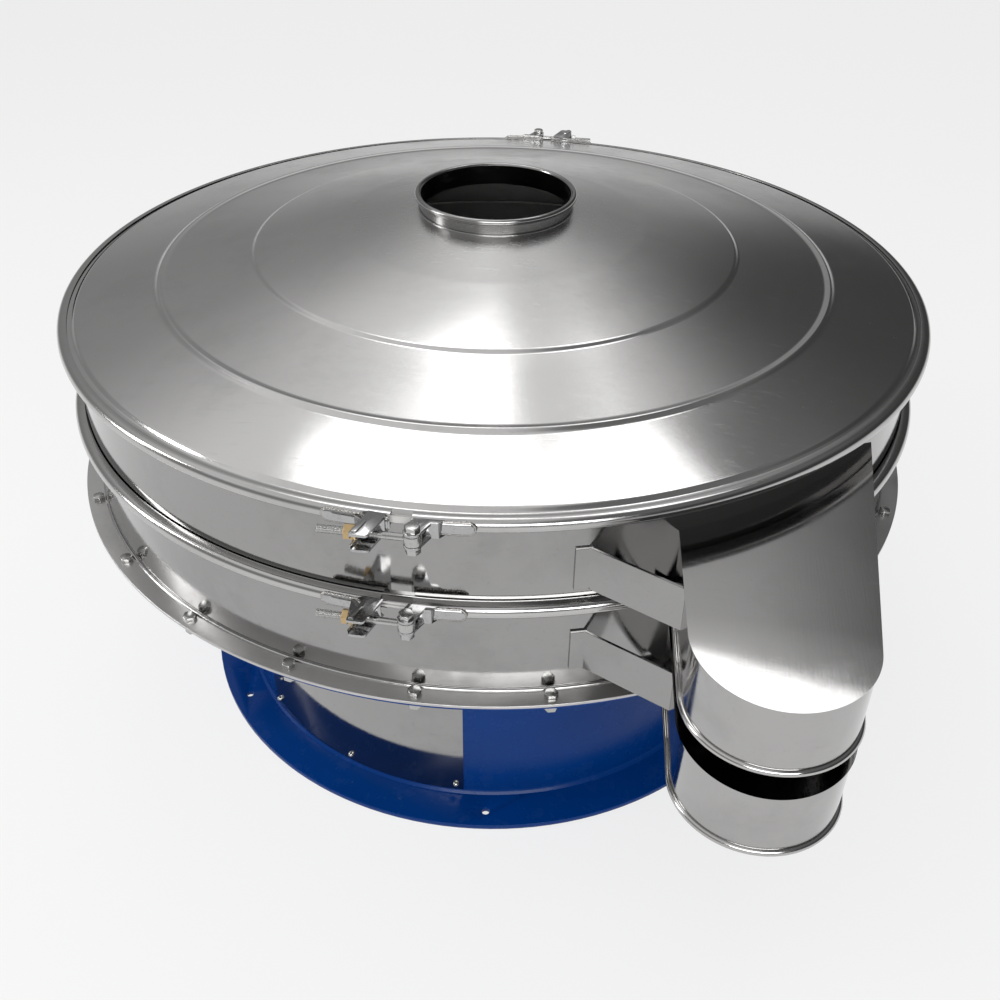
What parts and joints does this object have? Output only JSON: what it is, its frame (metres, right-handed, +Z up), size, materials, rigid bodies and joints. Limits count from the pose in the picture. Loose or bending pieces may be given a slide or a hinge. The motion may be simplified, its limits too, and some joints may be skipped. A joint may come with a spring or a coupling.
{
  "type": "round vibrating sieve",
  "caption": "Round vibrating sieve: polished clamped frames with two tangential outlets on a painted spring base.",
  "frame": {"origin": "on the floor, on the machine's vertical axis, at the centre of the foot flange's bolt circle", "axes": "+Z up along the machine's axis; -Y to the front, where the clamp rings close and the outlets point; +X to the right"},
  "size_m": [1.53, 1.746, 0.9627],
  "materials": {
    "polished_steel": "mirror polished stainless sheet",
    "ring_steel": "polished stainless with weld scale",
    "brass_plated": "yellow plated",
    "blue_paint": "gloss blue enamel",
    "bolt_steel": "plain stainless",
    "spring_steel": "black enamel",
    "inner_steel": "machined",
    "seal_rubber": "white silicone",
    "ball_rubber": "natural rubber"
  },
  "bodies": {
    "base": {"foot_flange": "blue_paint", "base_drum": "blue_paint", "base_ring": "blue_paint", "access_panel": "polished_steel", "panel_screws": "bolt_steel", "lower_spring_seats": "blue_paint", "springs": "spring_steel"},
    "sieve": {"ball_deck": "inner_steel", "feed_neck": "polished_steel", "fines_dome": "polished_steel", "flange_bolts": "bolt_steel", "flange_nuts": "bolt_steel", "lid": "polished_steel", "lower_bearing": "inner_steel", "lower_bearing_cap": "inner_steel", "lower_frame": "polished_steel", "lower_outlet": "polished_steel", "lower_strut": "ring_steel", "motor_bolts": "bolt_steel", "motor_housing": "blue_paint", "screen_frame": "inner_steel", "screen_lower_gasket": "seal_rubber", "screen_mesh": "inner_steel", "screen_upper_gasket": "seal_rubber", "stator": "inner_steel", "table": "blue_paint", "terminal_box": "blue_paint", "top_gasket": "seal_rubber", "upper_bearing": "inner_steel", "upper_bearing_cap": "inner_steel", "upper_frame": "polished_steel", "upper_outlet": "polished_steel", "upper_spring_seats": "blue_paint", "upper_strut": "ring_steel"},
    "rotor": {"motor_shaft": "inner_steel", "rotor_core": "inner_steel", "upper_weight": "inner_steel"},
    "lower_weight": {"lower_weight": "inner_steel"},
    "balls": {"cleaning_balls": "ball_rubber"},
    "top_left_half": {"top_ring_left_half": "ring_steel", "top_rear_left_ear": "ring_steel", "top_saddle": "ring_steel"},
    "top_right_half": {"top_ring_right_half": "ring_steel", "top_rear_right_ear": "ring_steel", "top_fork": "ring_steel", "top_fork_pin": "ring_steel", "top_rear_pin": "ring_steel"},
    "top_draw_bolt": {"top_eye_bolt": "ring_steel"},
    "top_draw_nut": {"top_draw_nut": "brass_plated"},
    "mid_left_half": {"mid_ring_left_half": "ring_steel", "mid_rear_left_ear": "ring_steel", "mid_saddle": "ring_steel"},
    "mid_right_half": {"mid_ring_right_half": "ring_steel", "mid_rear_right_ear": "ring_steel", "mid_fork": "ring_steel", "mid_fork_pin": "ring_steel", "mid_rear_pin": "ring_steel"},
    "mid_draw_bolt": {"mid_eye_bolt": "ring_steel"},
    "mid_draw_nut": {"mid_draw_nut": "brass_plated"}
  },
  "joints": [
    {"name": "suspension", "type": "slide", "parent": "base", "child": "sieve", "axis": [0, 0, 1], "range_m": [-0.005, 0.005], "stiffness_N_per_m": 260000, "springref_m": 0.01286, "deforming": ["springs"]},
    {"name": "rotor_spin", "type": "hinge", "parent": "sieve", "child": "rotor", "pos_m": [0, 0, 0.37], "axis": [0, 0, 1], "continuous": true},
    {"name": "weight_phase", "type": "hinge", "parent": "rotor", "child": "lower_weight", "pos_m": [0, 0, 0.233], "axis": [0, 0, 1], "range_deg": [0, 90]},
    {"name": "ball_hop", "type": "slide", "parent": "sieve", "child": "balls", "axis": [0, 0, 1], "range_m": [0, 0.0012]},
    {"name": "top_left_open", "type": "hinge", "parent": "sieve", "child": "top_left_half", "pos_m": [-0.022, 0.778, 0.804], "axis": [0, 0, -1], "range_deg": [0, 0.21]},
    {"name": "top_right_open", "type": "hinge", "parent": "sieve", "child": "top_right_half", "pos_m": [-0.022, 0.778, 0.804], "axis": [0, 0, 1], "range_deg": [0, 0.21]},
    {"name": "top_bolt_swing", "type": "hinge", "parent": "top_right_half", "child": "top_draw_bolt", "pos_m": [0.022, -0.778, 0.804], "axis": [0, 0, 1], "range_deg": [0, 58]},
    {"name": "top_nut_travel", "type": "slide", "parent": "top_draw_bolt", "child": "top_draw_nut", "axis": [-1, 0, 0], "range_m": [0, 0.03]},
    {"name": "mid_left_open", "type": "hinge", "parent": "sieve", "child": "mid_left_half", "pos_m": [-0.00842, 0.77826, 0.659], "axis": [0, 0, -1], "range_deg": [0, 0.21]},
    {"name": "mid_right_open", "type": "hinge", "parent": "sieve", "child": "mid_right_half", "pos_m": [-0.00842, 0.77826, 0.659], "axis": [0, 0, 1], "range_deg": [0, 0.21]},
    {"name": "mid_bolt_swing", "type": "hinge", "parent": "mid_right_half", "child": "mid_draw_bolt", "pos_m": [0.00842, -0.77826, 0.659], "axis": [0, 0, 1], "range_deg": [0, 58]},
    {"name": "mid_nut_travel", "type": "slide", "parent": "mid_draw_bolt", "child": "mid_draw_nut", "axis": [-0.9998, 0.0175, 0], "range_m": [0, 0.03]}
  ],
  "couplings": [
    {"joint": "top_left_open", "follows": "top_nut_travel", "rad_per_m": 0.12},
    {"joint": "top_right_open", "follows": "top_nut_travel", "rad_per_m": 0.12},
    {"joint": "top_bolt_swing", "follows": "top_nut_travel", "rad_per_m": 33.3},
    {"joint": "mid_left_open", "follows": "mid_nut_travel", "rad_per_m": 0.12},
    {"joint": "mid_right_open", "follows": "mid_nut_travel", "rad_per_m": 0.12},
    {"joint": "mid_bolt_swing", "follows": "mid_nut_travel", "rad_per_m": 33.3}
  ]
}
